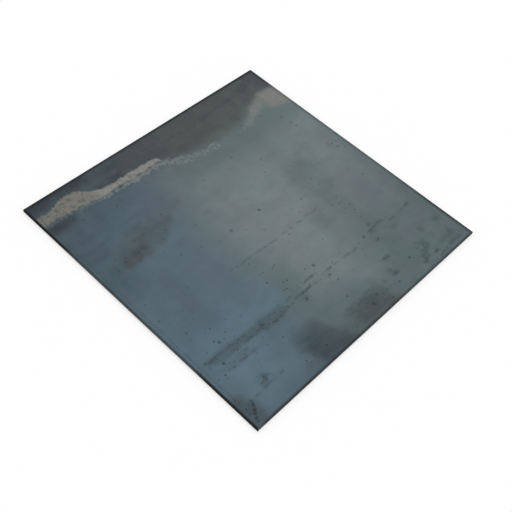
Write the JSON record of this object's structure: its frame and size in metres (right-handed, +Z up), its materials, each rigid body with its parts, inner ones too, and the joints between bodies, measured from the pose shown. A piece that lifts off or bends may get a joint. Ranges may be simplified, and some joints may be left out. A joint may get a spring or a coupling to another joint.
{
  "type": "steel plate",
  "caption": "Square flat blank of hot-rolled steel plate with mill scale on its faces and plain sheared edges, lying flat.",
  "frame": {"origin": "centre of the underside, on the surface that the plate lies on", "axes": "+Z up through the thickness, X and Y along the cut edges, Y the rolling direction"},
  "size_m": [0.3, 0.3, 0.003],
  "materials": {
    "mill_scale": "hot-rolled mill scale, dull blue-grey"
  },
  "bodies": {
    "root": {"steel_plate": "mill_scale"}
  },
  "joints": []
}
